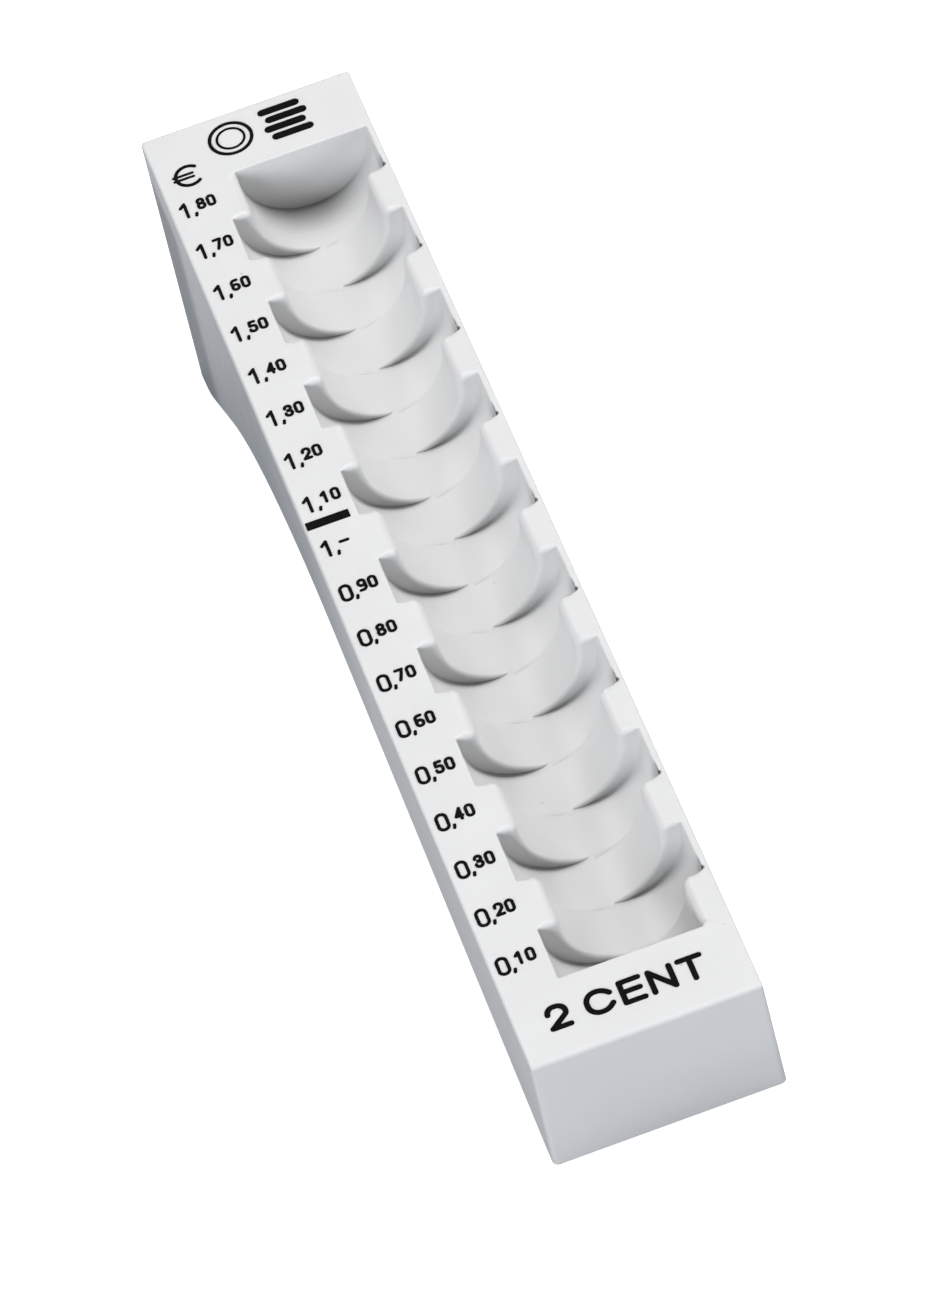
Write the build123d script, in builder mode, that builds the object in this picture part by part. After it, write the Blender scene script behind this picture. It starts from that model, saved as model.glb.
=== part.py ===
from build123d import *
import os
from math import cos, radians, sin, tan

# Coin counting tray for one denomination: a single light moulding with a stepped
# half-round channel, open underneath, and a value scale printed on its left land.
# Row frame: +Z up as the tray stands on a table, +Y from the coin front to the rear,
# +X to the right, origin at the centre of the footprint on the table.
# Deck frame: the sloping top face, with y = 0 at the front end of the channel.

# ---- Driving dimensions (mm) ----
coin_diameter = 18.75
coin_thickness = 1.67
coins_per_group = 5
group_count = 18

deck_tilt = 9.0  # degrees, the top face slopes down to the front
deck_width = 30.4
front_land = 12.1
rear_land = 11.4
front_height = 19.7  # front wall, measured square to the deck
side_draft = 0.9  # degrees, walls spread as they go down

channel_clearance = 0.03  # radial, coin to channel
channel_center_depth = 1.9  # round part of the channel starts this far down
channel_mouth = 19.15
stagger = 2.8  # sideways step between neighbouring groups
label_land = 7.53  # left edge of the deck to the outermost channel edge

wall = 1.7
deck_thickness = 1.8
casing_wall = 1.3  # thickness under the channel
vertical_corner_radius = 0.55
deck_edge_radius = 0.4
tooth_edge_radius = 1.3

front_foot = 2.2  # depth of the flat under the front wall
arch_crest = (110.9, 13.4)  # where the two straight skirt lines cross: along, below the deck
arch_radius = 92.0
heel_slope = 35.5  # degrees, skirt line down to the heel, against the deck
heel_radius = 14.0
past_deck = 1.0  # cutting profiles are drawn this far past the deck
past_body = 6.0  # rough solids run this far past the tray before they are trimmed

# Printed marks: ink_line is the width of a stroke, and the sizes are those of its centre line
ink_thickness = 0.08
label_left = -14.07
label_start = 4.6  # middle of the first label
label_pitch = 8.384  # the scale runs a trace short of the groups it counts
label_lean = 0.13  # degrees, and leans a trace to the right
big_digit = (1.3, 2.56)
big_ink_line = 0.45
comma_line = ((1.93, 0.2), (1.83, -0.2))  # from the lower left corner of the big digit
small_digit = (0.86, 1.74)
small_ink_line = 0.44
small_digit_lefts = (2.53, 3.98)  # from the left of the big digit
dash_length = 1.05
unit_bar_size = (6.0, 1.4)
unit_bar_left = -14.75
unit_bar_offset = 0.8  # its middle is this far behind the end of the tenth group
currency_radius = 1.85
currency_ink_line = 0.5
currency_center = (-10.8, 153.35)
currency_opening = 48  # degrees, half the gap in the bow
currency_bar_ends = (-2.15, 0.6)
currency_bar_line = 0.38
currency_bar_offset = 0.36
title_height = 3.3
title_ink_line = 0.74
title_baseline = -7.4
title_letters = (  # left edge and width of each
    ("2", -10.7, 2.3),
    ("C", -5.7, 3.2),
    ("E", -1.1, 2.5),
    ("N", 2.7, 2.75),
    ("T", 6.65, 2.8),
)
mark_center = (0.6, 157.5)
mark_gap = 1.8
mark_rings = ((3.2, 2.7), (2.1, 1.75))  # outer and inner radius of each ring
mark_stack_lean = 0.3
mark_stack_size = (6.0, 1.2)
mark_stack_count = 4

# ---- Worked out from them ----
pitch = coins_per_group * coin_thickness + 0.05
channel_length = group_count * pitch
channel_radius = coin_diameter / 2 + channel_clearance
deck_length = front_land + channel_length + rear_land
left_center = -deck_width / 2 + label_land + channel_mouth / 2
right_center = left_center + stagger

tilt_sin = sin(radians(deck_tilt))
tilt_cos = cos(radians(deck_tilt))


def from_deck(y, z):
    """Turn a deck frame (y, z) into row frame axes, before the origin is placed."""
    return y * tilt_cos - z * tilt_sin, y * tilt_sin + z * tilt_cos


front_foot_point = from_deck(-front_land, -front_height)
rear_drop = (deck_length * tilt_sin + front_height * tilt_cos) / tilt_cos
rear_foot_point = from_deck(channel_length + rear_land, -rear_drop)
draft_spread = rear_drop * tan(radians(side_draft))
deck_start_z = -front_foot_point[1]
front_reach = -front_land * tilt_cos
rear_reach = rear_foot_point[0] + draft_spread
deck_start_y = -(front_reach + rear_reach) / 2

deck = Plane(
    origin=(0, deck_start_y, deck_start_z),
    x_dir=(1, 0, 0),
    z_dir=(0, -tilt_sin, tilt_cos),
)


def center_of_group(index):
    """Groups alternate left and right, and the first group at the front is left."""
    return left_center if index % 2 == 0 else right_center


def section_at(y):
    """Cross-section plane square to the deck, sketched as x across and y downwards."""
    return Plane(origin=deck.from_local_coords((0, y, 0)), x_dir=(1, 0, 0), z_dir=deck.y_dir)


def trough_outline(center, radius, mouth):
    """Half-round trough with slightly flared sides, drawn past the deck at its mouth."""
    with BuildLine() as outline:
        Polyline(
            (center - radius, channel_center_depth),
            (center - mouth / 2, 0),
            (center - mouth / 2, -past_deck),
            (center + mouth / 2, -past_deck),
            (center + mouth / 2, 0),
            (center + radius, channel_center_depth),
        )
        ThreePointArc(
            (center + radius, channel_center_depth),
            (center, channel_center_depth + radius),
            (center - radius, channel_center_depth),
        )
    return outline.edges()


# ---- Tray shell ----
deck_middle = (channel_length + rear_land - front_land) / 2
block_depth = rear_drop + past_body

# Hollow under the deck: the drafted inside of the walls, less the casing of the channel
with BuildPart() as hollow:
    with BuildSketch(deck.offset(-deck_thickness)):
        with Locations((0, deck_middle)):
            Rectangle(deck_width - 2 * wall, deck_length - 2 * wall)
    extrude(amount=-block_depth, taper=-side_draft)
    for index in range(group_count):
        with BuildSketch(section_at(index * pitch - casing_wall)):
            make_face(
                trough_outline(
                    center_of_group(index),
                    channel_radius + casing_wall,
                    channel_mouth + 2 * casing_wall,
                )
            )
        extrude(amount=pitch + 2 * casing_wall, mode=Mode.SUBTRACT)

with BuildPart() as tray_shell:
    with BuildSketch(deck):
        with Locations((0, deck_middle)):
            RectangleRounded(deck_width, deck_length, vertical_corner_radius)
    extrude(amount=-block_depth, taper=-side_draft)
    deck_rim = tray_shell.faces().filter_by(lambda f: f.normal_at().dot(deck.z_dir) > 0.999)
    fillet(deck_rim.edges(), deck_edge_radius)
    # Skirt line as it stands on the table: front foot, long low arch, slope, heel
    front_toe = -front_land - past_body
    side_plane = Plane(origin=deck.origin, x_dir=deck.y_dir, z_dir=(1, 0, 0))
    with BuildSketch(side_plane):
        with BuildLine():
            crest_y = arch_crest[0]
            crest_z = -arch_crest[1]
            table_slope = tan(radians(deck_tilt))
            table_at_zero = -front_height - front_land * table_slope
            foot_y = -front_land + front_foot
            foot_z = table_at_zero - foot_y * table_slope
            heel_run = tan(radians(heel_slope))
            heel_y = (crest_z + heel_run * crest_y - table_at_zero) / (heel_run - table_slope)
            heel_z = table_at_zero - heel_y * table_slope
            rear_y = channel_length + rear_land + past_body
            Polyline(
                (front_toe, past_deck),
                (front_toe, table_at_zero - front_toe * table_slope),
                (foot_y, foot_z),
                (crest_y, crest_z),
                (heel_y, heel_z),
                (rear_y, table_at_zero - rear_y * table_slope),
                (rear_y, past_deck),
                close=True,
            )
        skirt = make_face()
        fillet(skirt.vertices().sort_by_distance((crest_y, crest_z))[0], arch_radius)
        fillet(skirt.vertices().sort_by_distance((heel_y, heel_z))[0], heel_radius)
    extrude(amount=deck_width, both=True, mode=Mode.INTERSECT)
    add(hollow.part, mode=Mode.SUBTRACT)
    for index in range(group_count):
        with BuildSketch(section_at(index * pitch)):
            make_face(trough_outline(center_of_group(index), channel_radius, channel_mouth))
        extrude(amount=pitch, mode=Mode.SUBTRACT)
    # The wide rims, or teeth, are well rounded where they meet the channel
    tooth_edges = []
    for index in range(group_count):
        side = 1 if index % 2 == 0 else -1
        tooth_x = center_of_group(index) + side * channel_mouth / 2
        tooth_middle = deck.from_local_coords((tooth_x, (index + 0.5) * pitch, 0))
        tooth_edges.append(tray_shell.edges().sort_by_distance(tooth_middle)[0])
    fillet(tooth_edges, tooth_edge_radius)

tray_shell.part.label = "tray_shell"

# ---- Printed marks ----
# Each glyph is a list of strokes in a cell one wide and one high: points, corner radii
# as a share of the cell's width, and whether the stroke closes on itself.
ROUND = 0.49
GLYPHS = {
    "0": [([(0, 0), (1, 0), (1, 1), (0, 1)], [ROUND] * 4, True)],
    "1": [([(0.05, 0.76), (0.55, 1), (0.55, 0)], [0], False)],
    "2": [([(0, 0.7), (0, 1), (1, 1), (1, 0.56), (0, 0), (1.03, 0)], [0.42, 0.45, 0.28, 0], False)],
    "3": [
        ([(0.05, 0.77), (0.05, 1), (0.95, 1), (0.95, 0.54), (0.4, 0.54)], [0.4, 0.45, 0.45], False),
        ([(0.4, 0.5), (1, 0.5), (1, 0), (0, 0), (0, 0.27)], [ROUND, ROUND, 0.45], False),
    ],
    "4": [([(0.76, 0), (0.76, 1), (0, 0.28)], [0], False), ([(0, 0.28), (1, 0.28)], [], False)],
    "5": [([(0.92, 1), (0.14, 1), (0.06, 0.6), (1, 0.6), (1, 0), (0, 0), (0, 0.23)],
           [0, 0, 0.45, 0.45, 0.42], False)],
    "6": [
        ([(0, 0), (1, 0), (1, 0.55), (0, 0.55)], [ROUND] * 4, True),
        ([(0, 0.275), (0, 1), (0.9, 1)], [ROUND], False),
    ],
    "7": [([(0, 1), (1, 1), (0.35, 0)], [0], False)],
    "8": [
        ([(0, 0), (1, 0), (1, 0.54), (0, 0.54)], [ROUND] * 4, True),
        ([(0.06, 0.54), (0.94, 0.54), (0.94, 1), (0.06, 1)], [0.43] * 4, True),
    ],
    "9": [
        ([(0, 0.45), (1, 0.45), (1, 1), (0, 1)], [ROUND] * 4, True),
        ([(1, 0.725), (1, 0), (0.1, 0)], [ROUND], False),
    ],
    "C": [([(0.98, 0.76), (0.72, 1), (0, 1), (0, 0), (0.72, 0), (0.98, 0.24)],
           [0.6, 0.45, 0.45, 0.6], False)],
    "E": [([(1, 1), (0, 1), (0, 0), (1, 0)], [0, 0], False), ([(0, 0.52), (0.92, 0.52)], [], False)],
    "N": [([(0, 0), (0, 1), (1, 0), (1, 1)], [0, 0], False)],
    "T": [([(0, 1), (1, 1)], [], False), ([(0.5, 1), (0.5, 0)], [], False)],
}


def ink_stroke(points, radii, closed, ink_line):
    """Ink one stroke of even width into the sketch it is called from."""
    with BuildLine() as center_line:
        if radii:
            FilletPolyline(*points, radius=radii, close=closed)
        else:
            Polyline(*points)
    if closed:
        make_face(center_line.wire().offset_2d(ink_line / 2).edges())
        make_face(center_line.wire().offset_2d(-ink_line / 2).edges(), mode=Mode.SUBTRACT)
    else:
        SlotArc(center_line.wire(), ink_line)


def ink_glyph(character, left, bottom, size, ink_line):
    """Ink one glyph with the lower left corner of its cell at (left, bottom)."""
    width, height = size
    for cell_points, cell_radii, closed in GLYPHS[character]:
        points = [(left + x * width, bottom + y * height) for x, y in cell_points]
        ink_stroke(points, [r * width for r in cell_radii], closed, ink_line)


marks = []
for index in range(group_count):
    cents = (index + 1) * 10
    middle_y = label_start + index * label_pitch
    left = label_left + middle_y * tan(radians(label_lean))
    big_bottom = middle_y - big_digit[1] / 2
    small_bottom = middle_y + big_digit[1] / 2 - small_digit[1]
    with BuildPart() as label:
        with BuildSketch(deck):
            ink_glyph(str(cents // 100), left, big_bottom, big_digit, big_ink_line)
            comma = [(left + x, big_bottom + y) for x, y in comma_line]
            ink_stroke(comma, [], False, big_ink_line)
            small_lefts = [left + x for x in small_digit_lefts]
            if cents == 100:
                dash_y = small_bottom + small_digit[1] / 2
                dash = [(small_lefts[0], dash_y), (small_lefts[0] + dash_length, dash_y)]
                ink_stroke(dash, [], False, small_ink_line)
            else:
                for small_left, character in zip(small_lefts, f"{cents % 100:02d}"):
                    ink_glyph(character, small_left, small_bottom, small_digit, small_ink_line)
        extrude(amount=ink_thickness)
    label.part.label = f"value_label_{cents // 100}_{cents % 100:02d}"
    marks.append(label.part)

# The bar marks the step from the small values to the whole unit
with BuildPart() as whole_unit_bar:
    with BuildSketch(deck):
        with Locations((unit_bar_left + unit_bar_size[0] / 2, 10 * pitch + unit_bar_offset)):
            Rectangle(*unit_bar_size)
    extrude(amount=ink_thickness)
whole_unit_bar.part.label = "whole_unit_bar"
marks.append(whole_unit_bar.part)

with BuildPart() as currency_sign:
    with BuildSketch(deck):
        center_x, center_y = currency_center
        with BuildLine() as bow:
            CenterArc(currency_center, currency_radius, currency_opening, 360 - 2 * currency_opening)
        SlotArc(bow.wire(), currency_ink_line)
        for bar_y in (center_y - currency_bar_offset, center_y + currency_bar_offset):
            bar = [(center_x + end, bar_y) for end in currency_bar_ends]
            ink_stroke(bar, [], False, currency_bar_line)
    extrude(amount=ink_thickness)
currency_sign.part.label = "currency_sign"
marks.append(currency_sign.part)

with BuildPart() as denomination_label:
    with BuildSketch(deck):
        for character, left, width in title_letters:
            ink_glyph(character, left, title_baseline, (width, title_height), title_ink_line)
    extrude(amount=ink_thickness)
denomination_label.part.label = "denomination_label"
marks.append(denomination_label.part)

# Pictogram: a coin beside a small stack of coins
with BuildPart() as coin_pictogram:
    with BuildSketch(deck):
        mark_x, mark_y = mark_center
        mark_radius = mark_rings[0][0]
        with Locations((mark_x - mark_gap / 2 - mark_radius, mark_y)):
            for outer, inner in mark_rings:
                Circle(outer)
                Circle(inner, mode=Mode.SUBTRACT)
        stack_x = mark_x + (mark_gap + mark_stack_size[0]) / 2
        stack_foot = mark_y - mark_radius + mark_stack_size[1] / 2
        stack_pitch = (2 * mark_radius - mark_stack_size[1]) / (mark_stack_count - 1)
        for level in range(mark_stack_count):
            lean = mark_stack_lean * (-1) ** level
            with Locations((stack_x + lean, stack_foot + level * stack_pitch)):
                SlotOverall(*mark_stack_size)
    extrude(amount=ink_thickness)
coin_pictogram.part.label = "coin_pictogram"
marks.append(coin_pictogram.part)

os.makedirs("parts", exist_ok=True)
for piece in [tray_shell.part, *marks]:
    export_step(piece, f"parts/{piece.label}.step")
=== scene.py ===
from math import acos, asin, cos, degrees, radians, sin, sqrt, tan

import bmesh
import bpy
import numpy as np
from mathutils import Matrix, Vector
from mathutils.geometry import tessellate_polygon


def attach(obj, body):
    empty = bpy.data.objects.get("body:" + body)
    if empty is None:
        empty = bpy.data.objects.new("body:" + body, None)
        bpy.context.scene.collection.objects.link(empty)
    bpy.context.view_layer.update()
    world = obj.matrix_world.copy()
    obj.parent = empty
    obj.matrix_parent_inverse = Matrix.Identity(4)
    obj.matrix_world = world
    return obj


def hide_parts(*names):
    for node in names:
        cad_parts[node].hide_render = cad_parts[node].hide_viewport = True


# Coin counting tray: one pale moulding with a stepped half-round channel and a printed
# value scale. The shell is rebuilt here as a finer mesh than the CAD solid, with its
# rounded lips and corners; the printed marks stay the CAD nodes, with an ink material.
# Sizes are in millimetres in the deck frame: x to the right, y to the rear along the
# sloping top face from the front end of the channel, z square to that face.

# ---- Driving sizes (mm, degrees) ----
MM = 0.001
TINY = 1e-6
GROUPS = 18
PITCH = 8.4
DECK_TILT = 9.0
DECK_WIDTH = 30.4
FRONT_LAND = 12.1
REAR_LAND = 11.4
FRONT_HEIGHT = 19.7
SIDE_DRAFT = 0.9

LEFT_CENTER = 1.905
STAGGER = 2.8
CHANNEL_RADIUS = 9.405
MOUTH_FLARE = 0.17  # each side of the mouth stands this far out of the round part
ROUND_START = 1.9  # depth at which the round part begins

TOOTH_LIP = 1.3  # edge radii at the deck: along a tooth, across its ends, and elsewhere
TOOTH_END_LIP = 0.75
EDGE_LIP = 0.25
LIP_FADE = 0.5  # length over which a tooth's lip dies out at an end of the channel
TOOTH_CORNER = 1.1  # plan radius of a tooth's corners at the deck
DEEP_CORNER = 0.6  # and further down the crescent
CORNER_FADE = 3.5
INNER_CORNER = 0.15

SIDE_EDGE = 0.4  # outer edge radius of the deck at the sides and the rear
FRONT_EDGE = 0.58
VERTICAL_CORNER = 0.5
FOOT_EDGE = 0.15
FOOT_LENGTH = 2.2
ARCH_CREST = (110.9, -13.4)
ARCH_RADIUS = 92.0
HEEL_SLOPE = 35.5
HEEL_RADIUS = 14.0

WALL = 1.7
CEILING = 1.8
CASING = 1.3
HOLLOW_CORNER = 0.8

# ---- Worked out from them ----
TILT_SIN = sin(radians(DECK_TILT))
TILT_COS = cos(radians(DECK_TILT))
DRAFT = tan(radians(SIDE_DRAFT))
CHANNEL_LENGTH = GROUPS * PITCH
DECK_LENGTH = FRONT_LAND + CHANNEL_LENGTH + REAR_LAND
RIGHT_CENTER = LEFT_CENTER + STAGGER
MIDDLE = (LEFT_CENTER + RIGHT_CENTER) / 2
REAR_DROP = DECK_LENGTH * TILT_SIN / TILT_COS + FRONT_HEIGHT
TABLE_SLOPE = tan(radians(DECK_TILT))
TABLE_AT_ZERO = -FRONT_HEIGHT - FRONT_LAND * TABLE_SLOPE
REAR_REACH = (CHANNEL_LENGTH + REAR_LAND) * TILT_COS + REAR_DROP * (TILT_SIN + DRAFT)
DECK_START_Y = (FRONT_LAND * TILT_COS - REAR_REACH) / 2
DECK_START_Z = FRONT_LAND * TILT_SIN + FRONT_HEIGHT * TILT_COS

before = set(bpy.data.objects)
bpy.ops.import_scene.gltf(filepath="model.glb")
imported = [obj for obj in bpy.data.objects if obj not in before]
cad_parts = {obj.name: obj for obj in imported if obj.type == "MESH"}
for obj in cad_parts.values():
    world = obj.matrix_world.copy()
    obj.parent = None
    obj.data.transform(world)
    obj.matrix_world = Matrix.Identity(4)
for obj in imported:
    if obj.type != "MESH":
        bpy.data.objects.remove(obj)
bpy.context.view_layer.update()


def blend_value(start, end, share):
    """Straight mix of two values."""
    return start + (end - start) * share


def smooth_step(value):
    """0 to 1 with no corner at either end."""
    value = min(max(value, 0.0), 1.0)
    return value * value * (3 - 2 * value)


def to_row(points):
    """Deck frame in millimetres to row frame in metres."""
    points = np.asarray(points, float)
    y = DECK_START_Y + points[..., 1] * TILT_COS - points[..., 2] * TILT_SIN
    z = DECK_START_Z + points[..., 1] * TILT_SIN + points[..., 2] * TILT_COS
    return np.stack([points[..., 0], y, z], -1) * MM


MERGE_DISTANCE = 0.002  # mm
SLIVER_LENGTH = 0.001


class Surface:
    """Collects points and faces of one mesh, in the deck frame."""

    def __init__(self):
        self.points = []
        self.faces = []

    def add(self, points):
        """Add points and return their numbers."""
        start = len(self.points)
        self.points.extend(tuple(p) for p in points)
        return list(range(start, start + len(points)))

    def strip(self, lower, upper, closed=False):
        """Quads between two rows of point numbers."""
        count = len(lower)
        for i in range(count if closed else count - 1):
            j = (i + 1) % count
            self.faces.append((lower[i], lower[j], upper[j], upper[i]))

    def to_object(self, name):
        """A closed Blender mesh in the row frame, its doubles merged and its faces turned out."""
        mesh = bpy.data.meshes.new(name)
        mesh.from_pydata([tuple(p) for p in to_row(self.points)], [], self.faces)
        bm = bmesh.new()
        bm.from_mesh(mesh)
        bmesh.ops.remove_doubles(bm, verts=bm.verts, dist=MERGE_DISTANCE * MM)
        bmesh.ops.dissolve_degenerate(bm, edges=bm.edges, dist=SLIVER_LENGTH * MM)
        bmesh.ops.triangulate(bm, faces=[f for f in bm.faces if len(f.verts) > 4])
        bmesh.ops.recalc_face_normals(bm, faces=bm.faces)
        bm.to_mesh(mesh)
        bm.free()
        obj = bpy.data.objects.new(name, mesh)
        bpy.context.scene.collection.objects.link(obj)
        return obj


# ---- Channel ----
WALL_STEPS = 4
ARC_STEPS = 30
FLAT_STEPS = 6
FACE_STEPS = 4
CONVEX_STEPS = 6
CONCAVE_STEPS = 3
LIP_STEPS = 7
END_SHARES = (0, 0.01, 0.02, 0.035, 0.05, 0.07, 0.15, 0.3)  # finer rows beside an end wall


def step_out(reach, convex, concave):
    """Plan corner where a notch steps out to a tooth, met along +Y.

    Each point is (along y, out from the notch, normal along y, normal out, lip radius)."""
    steepest = acos(max(1 - reach / (convex + concave), 0))
    face_y = convex * (1 - sin(steepest))
    face_foot = concave * (1 - cos(steepest))
    face_length = max(reach - convex - concave, 0)
    points = []
    for j in range(CONCAVE_STEPS + 1):
        turn = steepest * j / CONCAVE_STEPS
        y = face_y + concave * (sin(turn) - sin(steepest))
        points.append((y, concave * (1 - cos(turn)), sin(turn), -cos(turn), EDGE_LIP))
    for j in range(1, FACE_STEPS):
        share = j / FACE_STEPS
        lip = blend_value(EDGE_LIP, TOOTH_END_LIP, smooth_step(2 * share))
        points.append((face_y, face_foot + face_length * share, 1, 0, lip))
    for j in range(CONVEX_STEPS + 1):
        share = j / CONVEX_STEPS
        turn = steepest * (1 - share)
        lip = blend_value(TOOTH_END_LIP, TOOTH_LIP, smooth_step(share))
        out = reach - convex * (1 - cos(turn))
        points.append((convex * (1 - sin(turn)), out, sin(turn), -cos(turn), lip))
    return points


def side_path(reach, convex, concave, tooth_first):
    """Plan path along one side of the channel, from the front end wall to the rear one."""
    rising = step_out(reach, convex, concave)
    falling = [
        (-y, out, -normal_y, normal_out, lip) for y, out, normal_y, normal_out, lip in reversed(rising)
    ]
    path = []
    at_tooth = tooth_first
    start = INNER_CORNER
    for group in range(GROUPS):
        corner = falling if at_tooth else rising
        boundary = (group + 1) * PITCH
        last = group == GROUPS - 1
        end = CHANNEL_LENGTH - INNER_CORNER if last else boundary + corner[0][0]
        shares = [j / FLAT_STEPS for j in range(1, FLAT_STEPS)]
        if group == 0:
            shares = sorted({*END_SHARES, *shares[1:]})
        if last:
            shares = sorted({*[1 - share for share in END_SHARES], *shares[:-1]})
        for share in shares:
            y = blend_value(start, end, share)
            lip = EDGE_LIP
            if at_tooth:
                from_end = min(y, CHANNEL_LENGTH - y) - INNER_CORNER
                lip = blend_value(EDGE_LIP, TOOTH_LIP, smooth_step(from_end / LIP_FADE))
            path.append((y, reach if at_tooth else 0.0, 0.0, -1.0, lip))
        if not last:
            path.extend((boundary + y, *rest) for y, *rest in corner)
            start = boundary + corner[-1][0]
            at_tooth = not at_tooth
    return path


def on_channel(center, radius, turn):
    """Point (x, z) of a round section, turned right by turn from its lowest point."""
    return np.array([center + radius * sin(turn), -ROUND_START - radius * cos(turn)])


def channel_half(tooth_first):
    """Left half of the channel as rows across from rim to middle, and its plan rim."""
    path = side_path(STAGGER, TOOTH_CORNER, INNER_CORNER, tooth_first)
    columns = []
    for j in range(WALL_STEPS):
        column = []
        for y, out, _, _, lip in path:
            z = -blend_value(lip, ROUND_START, j / WALL_STEPS)
            flare = MOUTH_FLARE * (ROUND_START + z) / ROUND_START
            column.append((LEFT_CENTER - CHANNEL_RADIUS - flare + out, y, z))
        columns.append(column)
    overlap = degrees(asin(STAGGER / 2 / CHANNEL_RADIUS))
    for j in range(ARC_STEPS + 1):
        share = j / ARC_STEPS
        deep = radians(-90 + (90 + overlap) * share)
        shallow = radians(-90 + (90 - overlap) * share)
        notch = on_channel(LEFT_CENTER, CHANNEL_RADIUS, deep)
        tooth = on_channel(RIGHT_CENTER, CHANNEL_RADIUS, shallow)
        reach = float(np.hypot(*(tooth - notch)))
        depth = CHANNEL_RADIUS * cos(deep)
        convex = blend_value(TOOTH_CORNER, DEEP_CORNER, smooth_step(depth / CORNER_FADE))
        column = []
        for y, out, *_ in side_path(reach, convex, INNER_CORNER, tooth_first):
            x, z = notch + (tooth - notch) * (out / reach if reach > TINY else 0)
            column.append((x, y, z))
        columns.append(column)
    rim = [(normal_out, normal_y, lip) for _, _, normal_y, normal_out, lip in path]
    return np.array(columns).transpose(1, 0, 2), np.array(rim)


def end_rows(row, center, facing):
    """Rows of the small corner between the channel and an end wall, and their rim normals.

    facing is -1 at the front end and 1 at the rear."""
    wall_y = 0.0 if facing < 0 else CHANNEL_LENGTH
    rows = []
    rims = []
    for j in range(1, CONCAVE_STEPS + 1):
        turn = radians(90 * j / CONCAVE_STEPS)
        inset = (1 - cos(turn)) * INNER_CORNER
        points = []
        for x, _, z in row:
            across = np.array([center - x, max(-ROUND_START - z, 0.0)])
            x, z = (x, z) + inset * across / np.hypot(*across)
            points.append((x, wall_y - facing * INNER_CORNER * (1 - sin(turn)), z))
        rows.append(points)
        rims.append((cos(turn), facing * sin(turn), EDGE_LIP))
    return rows, rims


def add_channel(surface):
    """Channel, its end walls and the rounded lip round its mouth. Returns the lip's outer loop."""
    left, left_rim = channel_half(tooth_first=False)
    right, right_rim = channel_half(tooth_first=True)
    right[..., 0] = 2 * MIDDLE - right[..., 0]
    right_rim[:, 0] *= -1
    grid = np.concatenate([left, right[:, -2::-1]], axis=1)
    numbers = [surface.add(row) for row in grid]
    for lower, upper in zip(numbers, numbers[1:]):
        surface.strip(lower, upper)

    ends = []
    for row, center, facing in ((0, LEFT_CENTER, -1), (-1, RIGHT_CENTER, 1)):
        rows, rims = end_rows(grid[row], center, facing)
        row_numbers = [surface.add(points) for points in rows]
        for lower, upper in zip([numbers[row], *row_numbers], row_numbers):
            surface.strip(lower, upper)
        left_corner = [(points[0], -along, out, lip) for points, (along, out, lip) in zip(rows, rims)]
        right_corner = [(points[-1], along, out, lip) for points, (along, out, lip) in zip(rows, rims)]
        across = np.linspace(rows[-1][0], rows[-1][-1], END_LINE_STEPS + 1)[1:-1]
        line = [(point, 0.0, facing, EDGE_LIP) for point in across]
        line_numbers = surface.add(across)
        surface.faces.append((*row_numbers[-1], *reversed(line_numbers)))
        ends.append((left_corner, line, right_corner))
    left_side = [(point, *rim) for point, rim in zip(grid[:, 0], left_rim)]
    right_side = [(point, *rim) for point, rim in zip(grid[:, -1], right_rim)]
    front, rear = ends
    # (point, normal x, normal y, lip radius) round the mouth, seen from above
    loop = [
        *left_side, *rear[0], *rear[1], *reversed(rear[2]),
        *reversed(right_side), *front[2], *reversed(front[1]), *reversed(front[0]),
    ]
    previous = surface.add([point for point, *_ in loop])
    for j in range(1, LIP_STEPS + 1):
        turn = radians(90 * j / LIP_STEPS)
        row = []
        for (x, y, _), normal_x, normal_y, lip in loop:
            offset = lip * (1 - cos(turn))
            row.append((x + normal_x * offset, y + normal_y * offset, -lip * (1 - sin(turn))))
        current = surface.add(row)
        surface.strip(previous, current, closed=True)
        previous = current
    return previous


# ---- Outer walls ----
SIDE_SPACING = 1.6
EDGE_STEPS = 6
WALL_ROWS = 5
CORNER_STEPS = 6
FOOT_STEPS = 3
FOOT_PASSES = 4  # the walls lean out, so the foot of each line is found in a few passes
END_LINE_STEPS = 14


def rounded_line(points, radii):
    """Height along a line of straight runs with rounded corners, as a function of y."""
    arcs = []
    for before, corner, after, radius in zip(points, points[1:], points[2:], radii):
        inward = (Vector(before) - Vector(corner)).normalized()
        outward = (Vector(after) - Vector(corner)).normalized()
        half_turn = inward.angle(-outward) / 2
        if half_turn < TINY:
            continue
        reach = radius * tan(half_turn)
        middle = Vector(corner) + (inward + outward).normalized() * radius / cos(half_turn)
        bulge = 1.0 if corner[1] > middle.y else -1.0
        arcs.append((corner[0] + inward.x * reach, corner[0] + outward.x * reach, middle, radius, bulge))

    def height(y):
        for start, end, middle, radius, bulge in arcs:
            if start <= y <= end:
                return middle.y + bulge * sqrt(radius**2 - (y - middle.x) ** 2)
        return float(np.interp(y, [p[0] for p in points], [p[1] for p in points]))

    return height


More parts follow.
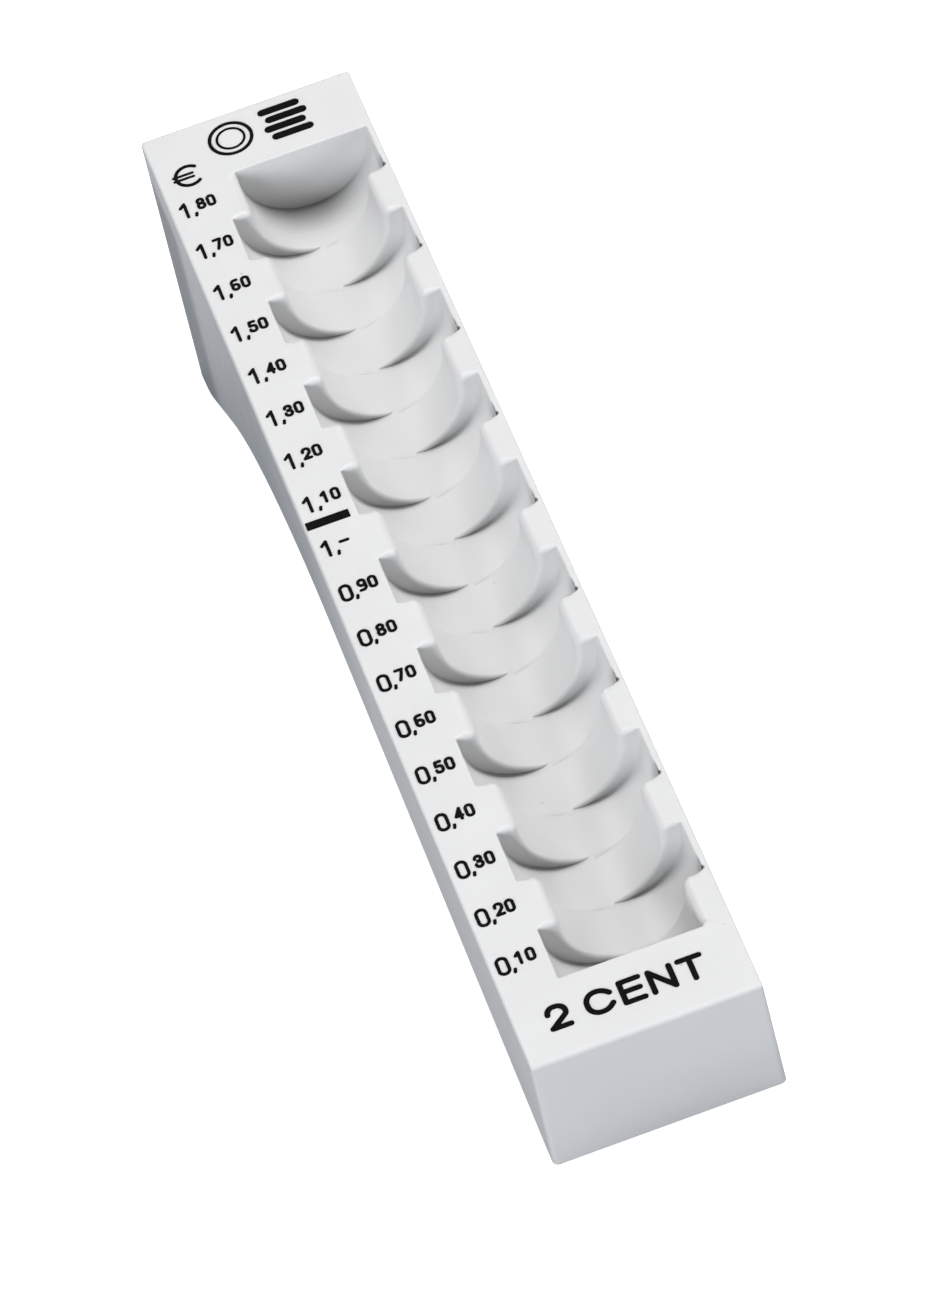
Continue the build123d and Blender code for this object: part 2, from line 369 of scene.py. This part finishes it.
def skirt_height():
    """Lower edge of the walls: front foot, long low arch, slope and heel, on the table."""
    def table(y):
        return TABLE_AT_ZERO - y * TABLE_SLOPE

    foot_y = FOOT_LENGTH - FRONT_LAND
    run = tan(radians(HEEL_SLOPE))
    heel_y = (ARCH_CREST[1] + run * ARCH_CREST[0] - TABLE_AT_ZERO) / (run - TABLE_SLOPE)
    toe_y, rear_y = -2 * FRONT_LAND, CHANNEL_LENGTH + 2 * REAR_LAND
    return rounded_line(
        [
            (toe_y, table(toe_y)),
            (foot_y, table(foot_y)),
            ARCH_CREST,
            (heel_y, table(heel_y)),
            (rear_y, table(rear_y)),
        ],
        [0.0, ARCH_RADIUS, HEEL_RADIUS],
    )


def outline_half(half_width, front, rear, corner):
    """Left half of a rounded rectangle from front to rear: (x, y, normal x, normal y)."""
    half = []
    for j in range(CORNER_STEPS + 1):
        turn = radians(90 * j / CORNER_STEPS)
        normal = (-sin(turn), -cos(turn))
        x, y = corner - half_width + corner * normal[0], front + corner + corner * normal[1]
        half.append((x, y, *normal))
    for y in np.linspace(front + corner, rear - corner, round((rear - front) / SIDE_SPACING) + 1)[1:-1]:
        half.append((-half_width, y, -1.0, 0.0))
    for j in range(CORNER_STEPS + 1):
        turn = radians(90 * j / CORNER_STEPS)
        normal = (-cos(turn), sin(turn))
        x, y = corner - half_width + corner * normal[0], rear - corner + corner * normal[1]
        half.append((x, y, *normal))
    return half


def mirrored_loop(half):
    """A half row and its mirror image as one closed row."""
    return [*half, *[(-x, y, z) for x, y, z in reversed(half)]]


def add_outer(surface):
    """Deck edge, walls, foot edge and the closed underside. Returns the deck edge's loop."""
    half = outline_half(DECK_WIDTH / 2, -FRONT_LAND, CHANNEL_LENGTH + REAR_LAND, VERTICAL_CORNER)
    skirt = skirt_height()
    rows = []
    for j in range(EDGE_STEPS + 1):
        turn = radians(90 * (1 - j / EDGE_STEPS))
        row = []
        for x, y, normal_x, normal_y in half:
            edge = blend_value(SIDE_EDGE, FRONT_EDGE, smooth_step(-normal_y))
            z = -edge * (1 - sin(turn))
            offset = edge * (cos(turn) - 1) - z * DRAFT
            row.append((x + normal_x * offset, y + normal_y * offset, z))
        rows.append(row)
    top = rows[-1]
    foot = []
    for x, y, normal_x, normal_y in half:
        foot_z = skirt(y)
        for _ in range(FOOT_PASSES):
            foot_z = skirt(y - normal_y * foot_z * DRAFT)
        foot.append((x - normal_x * foot_z * DRAFT, y - normal_y * foot_z * DRAFT, foot_z))
    for j in range(1, WALL_ROWS):
        share = j / WALL_ROWS
        rows.append([tuple(blend_value(np.array(a), np.array(b), share)) for a, b in zip(top, foot)])
    for j in range(FOOT_STEPS + 1):
        turn = radians(90 * j / FOOT_STEPS)
        row = []
        for (x, y, _), (_, _, normal_x, normal_y) in zip(foot, half):
            inset = FOOT_EDGE * (1 - cos(turn))
            row_y = y - normal_y * inset
            row.append((x - normal_x * inset, row_y, skirt(row_y) + FOOT_EDGE * (1 - sin(turn))))
        rows.append(row)
    numbers = [surface.add(mirrored_loop(row)) for row in rows]
    for lower, upper in zip(numbers, numbers[1:]):
        surface.strip(lower, upper, closed=True)
    surface.strip(numbers[-1][: len(half)], numbers[-1][: len(half) - 1 : -1])
    return numbers[0]


def build_outer_solid():
    """The moulding as if it were solid underneath."""
    surface = Surface()
    mouth = add_channel(surface)
    rim = add_outer(surface)
    loops = [[Vector(surface.points[i]) for i in loop] for loop in (rim, mouth)]
    order = [*rim, *mouth]
    surface.faces.extend(tuple(order[i] for i in triangle) for triangle in tessellate_polygon(loops))
    return surface.to_object("tray_body")


# ---- Hollow underside ----
CASING_STEPS = 24
CASING_TOP = -1.0  # the casing runs up into the ceiling of the hollow


def build_hollow_block():
    """Drafted block that fills the inside of the four walls."""
    surface = Surface()
    half = outline_half(
        DECK_WIDTH / 2 - WALL, WALL - FRONT_LAND, CHANNEL_LENGTH + REAR_LAND - WALL, HOLLOW_CORNER
    )
    rows = []
    for depth in (CEILING, REAR_DROP + CEILING):
        spread = (depth - CEILING) * DRAFT
        row = [(x + nx * spread, y + ny * spread, -depth) for x, y, nx, ny in half]
        rows.append(surface.add(mirrored_loop(row)))
    surface.strip(rows[0], rows[1], closed=True)
    for row in rows:
        surface.strip(row[: len(half)], row[: len(half) - 1 : -1])
    return surface.to_object("hollow_block")


def casing_half(center, overlap):
    """Half profile of the channel's underside, from its top to the middle: (x, z)."""
    radius = CHANNEL_RADIUS + CASING
    half = [(center - radius - MOUTH_FLARE, CASING_TOP)]
    for j in range(CASING_STEPS + 1):
        turn = radians(-90 + (90 + overlap) * j / CASING_STEPS)
        half.append(tuple(on_channel(center, radius, turn)))
    return half


def build_casing():
    """Underside of the stepped channel, a wall's thickness outside it."""
    overlap = degrees(asin(STAGGER / 2 / (CHANNEL_RADIUS + CASING)))
    wide = casing_half(LEFT_CENTER, overlap)
    narrow = casing_half(RIGHT_CENTER, -overlap)

    def row_at(y, left_wide, right_wide):
        left = wide if left_wide else narrow
        right = [(2 * MIDDLE - x, z) for x, z in (wide if right_wide else narrow)]
        return [(x, y, z) for x, z in [*left, *right[-2::-1]]]

    rows = []
    for group in range(GROUPS):
        start, end = group * PITCH, (group + 1) * PITCH
        left_group = group % 2 == 0
        first, last = group == 0, group == GROUPS - 1
        alone = (left_group, not left_group)
        rows.append((start - CASING if first else start + CASING, alone))
        rows.append((end + CASING if last else end - CASING, alone))
        if not last:
            rows.append((end - CASING, (True, True)))
            rows.append((end + CASING, (True, True)))
    surface = Surface()
    numbers = [surface.add(row_at(y, *wides)) for y, wides in rows]
    for lower, upper in zip(numbers, numbers[1:]):
        surface.strip(lower, upper, closed=True)
    surface.faces.extend((tuple(numbers[0]), tuple(reversed(numbers[-1]))))
    return surface.to_object("channel_casing")


def cut(body, cutter):
    """Take cutter out of body, and remove cutter."""
    modifier = body.modifiers.new("cut", "BOOLEAN")
    modifier.operation = "DIFFERENCE"
    modifier.solver = "EXACT"
    modifier.object = cutter
    graph = bpy.context.evaluated_depsgraph_get()
    mesh = bpy.data.meshes.new_from_object(body.evaluated_get(graph))
    body.modifiers.clear()
    body.data = mesh
    bpy.data.objects.remove(cutter)


SHARP_ANGLE = 38  # degrees


def build_tray():
    """The whole moulding, hollow underneath."""
    body = build_outer_solid()
    hollow = build_hollow_block()
    cut(hollow, build_casing())
    cut(body, hollow)
    mesh = body.data
    mesh.shade_smooth()
    mesh.set_sharp_from_angle(angle=radians(SHARP_ANGLE))
    normals = body.modifiers.new("weighted_normals", "WEIGHTED_NORMAL")
    normals.keep_sharp = True
    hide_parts("tray_shell")
    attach(body, "root")
    return body


# ---- Materials ----
# Openness is what the ambient occlusion node gives: 1 in the open, 0.5 in a square corner.
# Known fault: the painted shade in front of the channel's rear wall isn't held to the inside of the
# channel, so the outer walls behind that line are darkened too, and the rear wall shows a
# faint upright edge where the painted light along the bottom starts.
PLASTIC_COLOR = (0.60, 0.60, 0.60)
PLASTIC_DARKER = (0.585, 0.585, 0.586)
PLASTIC_ROUGHNESS = (0.36, 0.46)
CLOUD_SIZE = 9.0  # mm, the patches of slightly darker plastic
GLOSS_SIZE = 2.5
WAVE_SIZE, WAVE_DEPTH = 6.0, 0.03  # mm, how far the moulded surface is from flat
GRAIN_SIZE, GRAIN_DEPTH = 0.18, 0.004

BOTTOM_LIGHT_COLOR = (0.665, 0.665, 0.665)  # painted light: the channel's bottom is lighter, most of all at the rear
BOTTOM_DEPTH = (-4.0, -8.0)  # heights in the deck frame
BOTTOM_RUN = (0.0, 130.0)  # along the deck
BOTTOM_AT_FRONT = 0.25

SPECK_COLOR = (0.36, 0.36, 0.36)
SPECK_SPACING = 7.0  # mm
SPECK_EDGE = (0.02, 0.035)
SPECK_STRENGTH = 0.7

SHADE_COLOR = (0.22, 0.22, 0.225)
SHADE_LEAN = 10.0  # degrees, the steps are darkest this far to the left of their lowest point
SHADE_REACH = 5.0
SHADE_OPENNESS = (0.25, 0.85)
SHADE_SPREAD = (0.2, 0.95)  # each spread is where lowest_share starts and is full
SHADE_STRENGTH = 0.8
REAR_SHADE = 5.2  # the channel darkens over this length in front of its rear wall
REAR_SPREAD = (0.6, 1.0)
REAR_STRENGTH = 0.75
STEP_FACING = (0.4, 0.9)  # how squarely a face has to look to the front to count as a step

# Painted shade in the creases along the steps' feet, and on the bottom just in front of them.
CREASE_SHADE_COLOR = (0.03, 0.03, 0.032)
CREASE_REACH = 0.6
CREASE_OPENNESS = (0.52, 0.95)
CREASE_SPREAD = (0.4, 0.95)
CREASE_ON_BOTTOM = 0.6  # share of the crease's strength off the step's own face
CREASE_HIGH_UP = 0.15  # and high up the sides
FOOT_REACH = 1.2
FOOT_OPENNESS = (0.6, 0.95)
FOOT_STRENGTH = 0.4

# A dark spot and a short dark line, painted in at the rear corner behind every right tooth.
CORNER_SPOT_COLOR = (0.02, 0.02, 0.02)
CORNER_SPOT_PLACE = (14.36, 0.35, -0.25)  # from the rear edge of each right tooth, in the deck frame
CORNER_SPOT_STRETCH = (1.0, 0.9, 1.0)
CORNER_SPOT_RADII = (0.25, 0.48)
CORNER_LINE_PLACE = (14.3, 1.3, -0.2)
CORNER_LINE_STRETCH = (1.6, 0.25, 1.0)
CORNER_LINE_RADII = (0.1, 0.42)
CORNER_LINE_STRENGTH = 0.7

# Painted shade on the left outer wall and low down on the front wall.
WALL_SHADE_COLOR = (0.17, 0.20, 0.235)
FLANK_MIDDLE = 100.0  # along the deck, the middle of the painted shade on the left wall
FLANK_HALF = 12.0
FLANK_REACH = 42.0
FLANK_STRENGTH = 0.42
FLANK_LOW_START = -3.0  # heights in the deck frame, from which the painted shade grows on the lower parts
FLANK_LOW_STRENGTH = 0.6
FRONT_LOW_START = -9.0
FRONT_LOW_STRENGTH = 0.14
FRONT_LOW_RUN = (-12.0, 0.0)  # from the left of the front wall to its middle
WALL_SKIN = (0.5, 0.1)  # a wall's own surface is this far in from the deck's edge, or less

INK_COLOR = (0.004, 0.004, 0.0045)
INK_THIN_COLOR = (0.009, 0.009, 0.010)
INK_ROUGHNESS = (0.7, 0.85)
INK_SPECULAR = 0.03
INK_THIN_SIZE = 0.35
INK_THIN = (0.5, 0.8)
INK_GLOSS_SIZE = 0.5
INK_GRAIN_SIZE, INK_GRAIN_DEPTH = 0.12, 0.006

FLOOR_COLOR = (0.325, 0.342, 0.365)
FLOOR_COLOR_LOW = (0.320, 0.337, 0.360)
FLOOR_CLOUD_SIZE = 40.0
FLOOR_ROUGHNESS = 0.9
FLOOR_GLOW = 0.92

NOISE_SOFT = (0.3, 0.7)  # nearly all of a noise lies between these
NOISE_FIRM = (0.35, 0.65)  # narrower, for patches with clearer edges
COARSE_DETAIL, FINE_DETAIL = 1.0, 3.0
OCCLUSION_SAMPLES = 8


class Nodes:
    """A node material being built, with short ways to add what the materials here share."""

    def __init__(self, name):
        self.material = bpy.data.materials.new(name)
        self.material.use_nodes = True
        self.tree = self.material.node_tree
        self.shader = self.tree.nodes["Principled BSDF"]
        self.place = self.add("ShaderNodeTexCoord").outputs["Object"]
        to_deck = self.add("ShaderNodeMapping")
        to_deck.inputs["Scale"].default_value = (1 / MM,) * 3
        to_deck.inputs["Rotation"].default_value = (-radians(DECK_TILT), 0, 0)
        to_deck.inputs["Location"].default_value = (
            0,
            -DECK_START_Y * TILT_COS - DECK_START_Z * TILT_SIN,
            DECK_START_Y * TILT_SIN - DECK_START_Z * TILT_COS,
        )
        self.link(self.place, to_deck.inputs["Vector"])
        deck = self.add("ShaderNodeSeparateXYZ")
        self.link(to_deck.outputs["Vector"], deck.inputs["Vector"])
        self.deck = deck.outputs

    def add(self, kind, **settings):
        node = self.tree.nodes.new(kind)
        for key, value in settings.items():
            setattr(node, key, value)
        return node

    def link(self, source, target):
        self.tree.links.new(source, target)

    def noise(self, size, detail=2.0):
        """Noise whose patches are about size millimetres across."""
        node = self.add("ShaderNodeTexNoise")
        node.inputs["Scale"].default_value = 1 / (size * MM)
        node.inputs["Detail"].default_value = detail
        self.link(self.place, node.inputs["Vector"])
        return node.outputs["Fac"]

    def remap(self, source, low, high, to_low, to_high):
        """source from low..high to to_low..to_high, held at both ends."""
        node = self.add("ShaderNodeMapRange")
        limits = {"From Min": low, "From Max": high, "To Min": to_low, "To Max": to_high}
        for key, value in limits.items():
            node.inputs[key].default_value = value
        self.link(source, node.inputs["Value"])
        return node.outputs["Result"]

    def mix(self, share, first, second):
        """Mix of two colours, each a value or an output."""
        node = self.add("ShaderNodeMix", data_type="RGBA")
        self.link(share, node.inputs["Factor"])
        for socket, color in ((node.inputs[6], first), (node.inputs[7], second)):
            if isinstance(color, tuple):
                socket.default_value = (*color, 1)
            else:
                self.link(color, socket)
        return node.outputs[2]

    def math(self, operation, *values):
        """A sum on outputs and plain numbers."""
        node = self.add("ShaderNodeMath", operation=operation)
        for socket, value in zip(node.inputs, values):
            if isinstance(value, (int, float)):
                socket.default_value = value
            else:
                self.link(value, socket)
        return node.outputs["Value"]

    def multiply(self, first, second):
        return self.math("MULTIPLY", first, second)

    def vector(self, operation, first, second):
        """A sum on an output and a plain vector."""
        node = self.add("ShaderNodeVectorMath", operation=operation)
        self.link(first, node.inputs[0])
        node.inputs[1].default_value = second
        return node.outputs["Vector"]

    def occlusion(self, reach):
        """How open the surface is within reach millimetres: 1 in the open, 0.5 in a square corner."""
        node = self.add("ShaderNodeAmbientOcclusion", samples=OCCLUSION_SAMPLES, only_local=True)
        node.inputs["Distance"].default_value = reach * MM
        return node.outputs["AO"]

    def bump(self, height, depth, normal=None):
        """Bump of about depth millimetres."""
        node = self.add("ShaderNodeBump")
        node.inputs["Distance"].default_value = depth * MM
        self.link(height, node.inputs["Height"])
        if normal:
            self.link(normal, node.inputs["Normal"])
        return node.outputs["Normal"]


def corner_dark_spot(m, place, stretch, radii, strength):
    """Share of a painted dark spot about one place behind every right tooth."""
    period = 2 * PITCH
    middle = PITCH + place[1]
    wrapped = m.math("WRAP", m.deck["Y"], middle + period / 2, middle - period / 2)
    joined = m.add("ShaderNodeCombineXYZ")
    for axis, source in (("X", m.deck["X"]), ("Y", wrapped), ("Z", m.deck["Z"])):
        m.link(source, joined.inputs[axis])
    moved = m.vector("SUBTRACT", joined.outputs["Vector"], (place[0], middle, place[2]))
    scaled = m.vector("MULTIPLY", moved, stretch)
    distance = m.add("ShaderNodeVectorMath", operation="LENGTH")
    m.link(scaled, distance.inputs[0])
    darkness = m.remap(distance.outputs["Value"], *radii, strength, 0)
    return m.multiply(darkness, m.math("COMPARE", m.deck["Y"], CHANNEL_LENGTH / 2, CHANNEL_LENGTH / 2))


def lowest_share(m, low, high):
    """1 along the bottom of the channel, a little to the left, and at any greater depth."""
    sideways = sin(radians(SHADE_LEAN)) / CHANNEL_RADIUS
    upright = cos(radians(SHADE_LEAN)) / CHANNEL_RADIUS
    across = m.math("MULTIPLY_ADD", m.deck["X"], -sideways, MIDDLE * sideways)
    down = m.math("MULTIPLY_ADD", m.deck["Z"], -upright, -ROUND_START * upright)
    return m.remap(m.math("ADD", across, down), low, high, 0, 1)


def flank_shade_share(m):
    """Painted shade on a stretch of the left outer wall, and on its lower part towards the rear."""
    outside = m.remap(m.deck["X"], *[inset - DECK_WIDTH / 2 for inset in WALL_SKIN], 0, 1)
    off_middle = m.math("ABSOLUTE", m.math("SUBTRACT", m.deck["Y"], FLANK_MIDDLE))
    stretch = m.remap(off_middle, FLANK_HALF, FLANK_REACH, FLANK_STRENGTH, 0)
    low = m.remap(m.deck["Z"], FLANK_LOW_START, -REAR_DROP, 0, FLANK_LOW_STRENGTH)
    rear = m.remap(m.deck["Y"], FLANK_MIDDLE - FLANK_REACH, FLANK_MIDDLE + FLANK_HALF, 0, 1)
    share = m.math("ADD", stretch, m.multiply(low, rear))
    return m.multiply(outside, m.remap(share, 0, 1, 0, 1))


def front_shade_share(m):
    """Painted shade on the front wall, a little, low down and to the right."""
    outside = m.remap(m.deck["Y"], *[inset - FRONT_LAND for inset in WALL_SKIN], 0, 1)
    low = m.remap(m.deck["Z"], FRONT_LOW_START, -FRONT_HEIGHT, 0, FRONT_LOW_STRENGTH)
    return m.multiply(outside, m.multiply(low, m.remap(m.deck["X"], *FRONT_LOW_RUN, 0, 1)))


def paint_bottom_light(m, color, bottom):
    """Painted light: lighten the bottom of the channel, more and more towards the rear, and the rear
    wall.
    """
    depth = m.remap(m.deck["Z"], *BOTTOM_DEPTH, 0, 1)
    lit_share = m.multiply(depth, m.remap(m.deck["Y"], *BOTTOM_RUN, BOTTOM_AT_FRONT, 1))
    inside = m.math("COMPARE", m.deck["X"], MIDDLE, DECK_WIDTH / 2 - MIDDLE - WALL / 4)
    return m.mix(m.multiply(bottom, m.multiply(lit_share, inside)), color, BOTTOM_LIGHT_COLOR)


def step_shade(m, color, step, bottom):
    """Painted shade: darken the steps' faces, their feet, and what lies near and behind the channel's
    rear wall.
    """
    shade = m.multiply(step, m.remap(m.occlusion(SHADE_REACH), *SHADE_OPENNESS, SHADE_STRENGTH, 0))
    color = m.mix(m.multiply(shade, lowest_share(m, *SHADE_SPREAD)), color, SHADE_COLOR)
    near_rear = m.remap(m.deck["Y"], CHANNEL_LENGTH - REAR_SHADE, CHANNEL_LENGTH, 0, 1)
    rear_shade = m.multiply(m.remap(near_rear, 0, 1, 0, REAR_STRENGTH), lowest_share(m, *REAR_SPREAD))
    color = m.mix(m.multiply(bottom, rear_shade), color, SHADE_COLOR)
    lowest = lowest_share(m, *CREASE_SPREAD)
    foot = m.remap(m.occlusion(FOOT_REACH), *FOOT_OPENNESS, FOOT_STRENGTH, 0)
    foot = m.multiply(m.remap(near_rear, 0, 1, 1, 0), foot)
    color = m.mix(m.multiply(bottom, m.multiply(foot, lowest)), color, CREASE_SHADE_COLOR)
    crease = m.remap(m.occlusion(CREASE_REACH), *CREASE_OPENNESS, 1, 0)
    share = m.remap(step, 0, 1, CREASE_ON_BOTTOM, 1)
    share = m.multiply(share, m.remap(lowest, 0, 1, CREASE_HIGH_UP, 1))
    return m.mix(m.multiply(share, crease), color, CREASE_SHADE_COLOR)


def plastic_material():
    """Pale grey moulded polystyrene, satin, with dust specks; painted shade down its steps and on its
    outer walls, painted light along the channel's bottom, and dark spots painted in behind the right
    teeth.
    """
    m = Nodes("tray_plastic")
    cloud = m.remap(m.noise(CLOUD_SIZE, FINE_DETAIL), *NOISE_FIRM, 0, 1)
    color = m.mix(cloud, PLASTIC_COLOR, PLASTIC_DARKER)
    front = m.add("ShaderNodeVectorMath", operation="DOT_PRODUCT")
    front.inputs[1].default_value = (0, -1, 0)
    m.link(m.add("ShaderNodeNewGeometry").outputs["Normal"], front.inputs[0])
    step = m.remap(front.outputs["Value"], *STEP_FACING, 0, 1)
    bottom = m.remap(step, 0, 1, 1, 0)
    color = paint_bottom_light(m, color, bottom)
    cells = m.add("ShaderNodeTexVoronoi")
    cells.inputs["Scale"].default_value = 1 / (SPECK_SPACING * MM)
    m.link(m.place, cells.inputs["Vector"])
    speck = m.remap(cells.outputs["Distance"], *SPECK_EDGE, SPECK_STRENGTH, 0)
    color = m.mix(speck, color, SPECK_COLOR)
    color = step_shade(m, color, step, bottom)
    color = m.mix(flank_shade_share(m), color, WALL_SHADE_COLOR)
    color = m.mix(front_shade_share(m), color, WALL_SHADE_COLOR)
    spot = corner_dark_spot(m, CORNER_SPOT_PLACE, CORNER_SPOT_STRETCH, CORNER_SPOT_RADII, 1.0)
    color = m.mix(spot, color, CORNER_SPOT_COLOR)
    line = corner_dark_spot(m, CORNER_LINE_PLACE, CORNER_LINE_STRETCH, CORNER_LINE_RADII, CORNER_LINE_STRENGTH)
    color = m.mix(line, color, CORNER_SPOT_COLOR)
    m.link(color, m.shader.inputs["Base Color"])
    gloss = m.remap(m.noise(GLOSS_SIZE), *NOISE_SOFT, *PLASTIC_ROUGHNESS)
    m.link(gloss, m.shader.inputs["Roughness"])
    wave = m.bump(m.noise(WAVE_SIZE, COARSE_DETAIL), WAVE_DEPTH)
    m.link(m.bump(m.noise(GRAIN_SIZE), GRAIN_DEPTH, wave), m.shader.inputs["Normal"])
    return m.material


def ink_material():
    """Black pad-printing ink, matt, a little thinner here and there."""
    m = Nodes("print_ink")
    thin = m.remap(m.noise(INK_THIN_SIZE, FINE_DETAIL), *INK_THIN, 0, 1)
    m.link(m.mix(thin, INK_COLOR, INK_THIN_COLOR), m.shader.inputs["Base Color"])
    gloss = m.remap(m.noise(INK_GLOSS_SIZE), *NOISE_SOFT, *INK_ROUGHNESS)
    m.link(gloss, m.shader.inputs["Roughness"])
    m.shader.inputs["Specular IOR Level"].default_value = INK_SPECULAR
    m.link(m.bump(m.noise(INK_GRAIN_SIZE), INK_GRAIN_DEPTH), m.shader.inputs["Normal"])
    return m.material


def floor_material():
    """White paper that glows a little to the camera, and throws back less light than it shows."""
    m = Nodes("floor_white")
    color = m.mix(m.noise(FLOOR_CLOUD_SIZE), FLOOR_COLOR, FLOOR_COLOR_LOW)
    m.link(color, m.shader.inputs["Base Color"])
    m.shader.inputs["Roughness"].default_value = FLOOR_ROUGHNESS
    m.shader.inputs["Specular IOR Level"].default_value = 0.0
    m.shader.inputs["Emission Color"].default_value = (1, 1, 1, 1)
    seen = m.add("ShaderNodeLightPath").outputs["Is Camera Ray"]
    m.link(m.remap(seen, 0, 1, 0, FLOOR_GLOW), m.shader.inputs["Emission Strength"])
    return m.material


# ---- Camera, floor and light ----
CAMERA_TARGET = (-0.297, -7.156, 16.332)  # mm, row frame
CAMERA_DISTANCE = 990.8
CAMERA_AZIMUTH = 5.80
CAMERA_ELEVATION = 39.84
CAMERA_ROLL = -15.94
CAMERA_LENS = 209.18
SENSOR = 36.0
CAMERA_CLIP = (0.05, 20.0)  # m
FLOOR_SIZE = 6.0  # m
LIGHT_DISTANCE = 1.2  # m
LIGHT_SIZE = 0.5
COOL = (0.94, 0.965, 1.0)
NEUTRAL = (1.0, 1.0, 1.0)
LIGHTS = (  # name, azimuth from the rear towards the right, elevation, power in watts, colour
    ("front_left_low", 214, 10, 11.6, COOL),
    ("front_right_low", 122, 10, 4.2, COOL),
    ("right_side", 90, 30, 4.0, NEUTRAL),
    ("right_rear", 60, 50, 2.4, NEUTRAL),
    ("right_top", 88, 70, 6.1, NEUTRAL),
    ("left_top", 270, 70, 2.1, NEUTRAL),
    ("left_rear_top", 315, 68, 3.6, NEUTRAL),
    ("left_rear", 313, 50, 1.7, NEUTRAL),
)
SURROUND = 0.04


def add_camera():
    """Long lens from above the front, a little to the left, rolled to the left."""
    azimuth, elevation = radians(CAMERA_AZIMUTH), radians(CAMERA_ELEVATION)
    look = Vector((sin(azimuth) * cos(elevation), cos(azimuth) * cos(elevation), -sin(elevation)))
    data = bpy.data.cameras.new("camera")
    data.sensor_fit = "VERTICAL"
    data.sensor_height = SENSOR
    data.lens = CAMERA_LENS
    data.clip_start, data.clip_end = CAMERA_CLIP
    camera = bpy.data.objects.new("camera", data)
    turn = look.to_track_quat("-Z", "Y").to_matrix() @ Matrix.Rotation(radians(CAMERA_ROLL), 3, "Z")
    place = (Vector(CAMERA_TARGET) - look * CAMERA_DISTANCE) * MM
    camera.matrix_world = Matrix.Translation(place) @ turn.to_4x4()
    bpy.context.scene.collection.objects.link(camera)
    bpy.context.scene.camera = camera


def add_floor():
    """Plain white table."""
    bpy.ops.mesh.primitive_plane_add(size=FLOOR_SIZE)
    floor = bpy.context.active_object
    floor.name = "floor"
    floor.data.materials.append(floor_material())


def add_lights():
    """Soft round lamps about the tray, and a faint even surround."""
    for name, azimuth, elevation, power, color in LIGHTS:
        data = bpy.data.lights.new(name, "AREA")
        data.shape = "DISK"
        data.size = LIGHT_SIZE
        data.energy = power
        data.color = color
        lamp = bpy.data.objects.new(name, data)
        turn, rise = radians(azimuth), radians(elevation)
        away = Vector((sin(turn) * cos(rise), cos(turn) * cos(rise), sin(rise)))
        lamp.location = away * LIGHT_DISTANCE
        lamp.rotation_euler = away.to_track_quat("Z", "Y").to_euler()
        bpy.context.scene.collection.objects.link(lamp)
    world = bpy.data.worlds.new("surround")
    world.use_nodes = True
    world.node_tree.nodes["Background"].inputs["Color"].default_value = (1, 1, 1, 1)
    world.node_tree.nodes["Background"].inputs["Strength"].default_value = SURROUND
    bpy.context.scene.world = world


tray = build_tray()
tray.data.materials.clear()
tray.data.materials.append(plastic_material())
ink = ink_material()
for name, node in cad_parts.items():
    if name != "tray_shell":
        node.data.materials.clear()
        node.data.materials.append(ink)
add_camera()
add_floor()
add_lights()
bpy.context.scene.view_settings.view_transform = "Standard"
